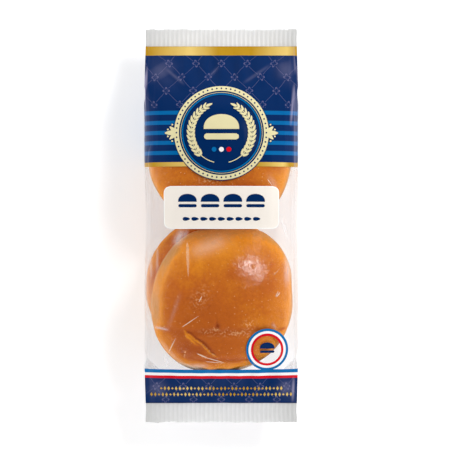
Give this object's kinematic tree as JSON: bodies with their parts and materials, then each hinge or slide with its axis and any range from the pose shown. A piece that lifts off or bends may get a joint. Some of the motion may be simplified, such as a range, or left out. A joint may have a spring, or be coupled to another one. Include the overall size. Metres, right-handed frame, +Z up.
{
  "type": "clear bag of brioche burger buns",
  "caption": "Sealed clear flow-wrap bag holding brioche burger buns in two layers, with ribbed end seals and printed head and foot fields.",
  "frame": {"origin": "centre of the bag's bounding box, on the plane that its underside rests on", "axes": "+X across the bag, +Y towards the printed head end, +Z up through the shown side"},
  "size_m": [0.1112, 0.2832, 0.0822],
  "materials": {
    "bag": "gloss",
    "film": "gloss",
    "print": "gloss",
    "seal": "satin",
    "crust": "satin"
  },
  "bodies": {
    "root": {"bag": "bag"}
  },
  "joints": []
}
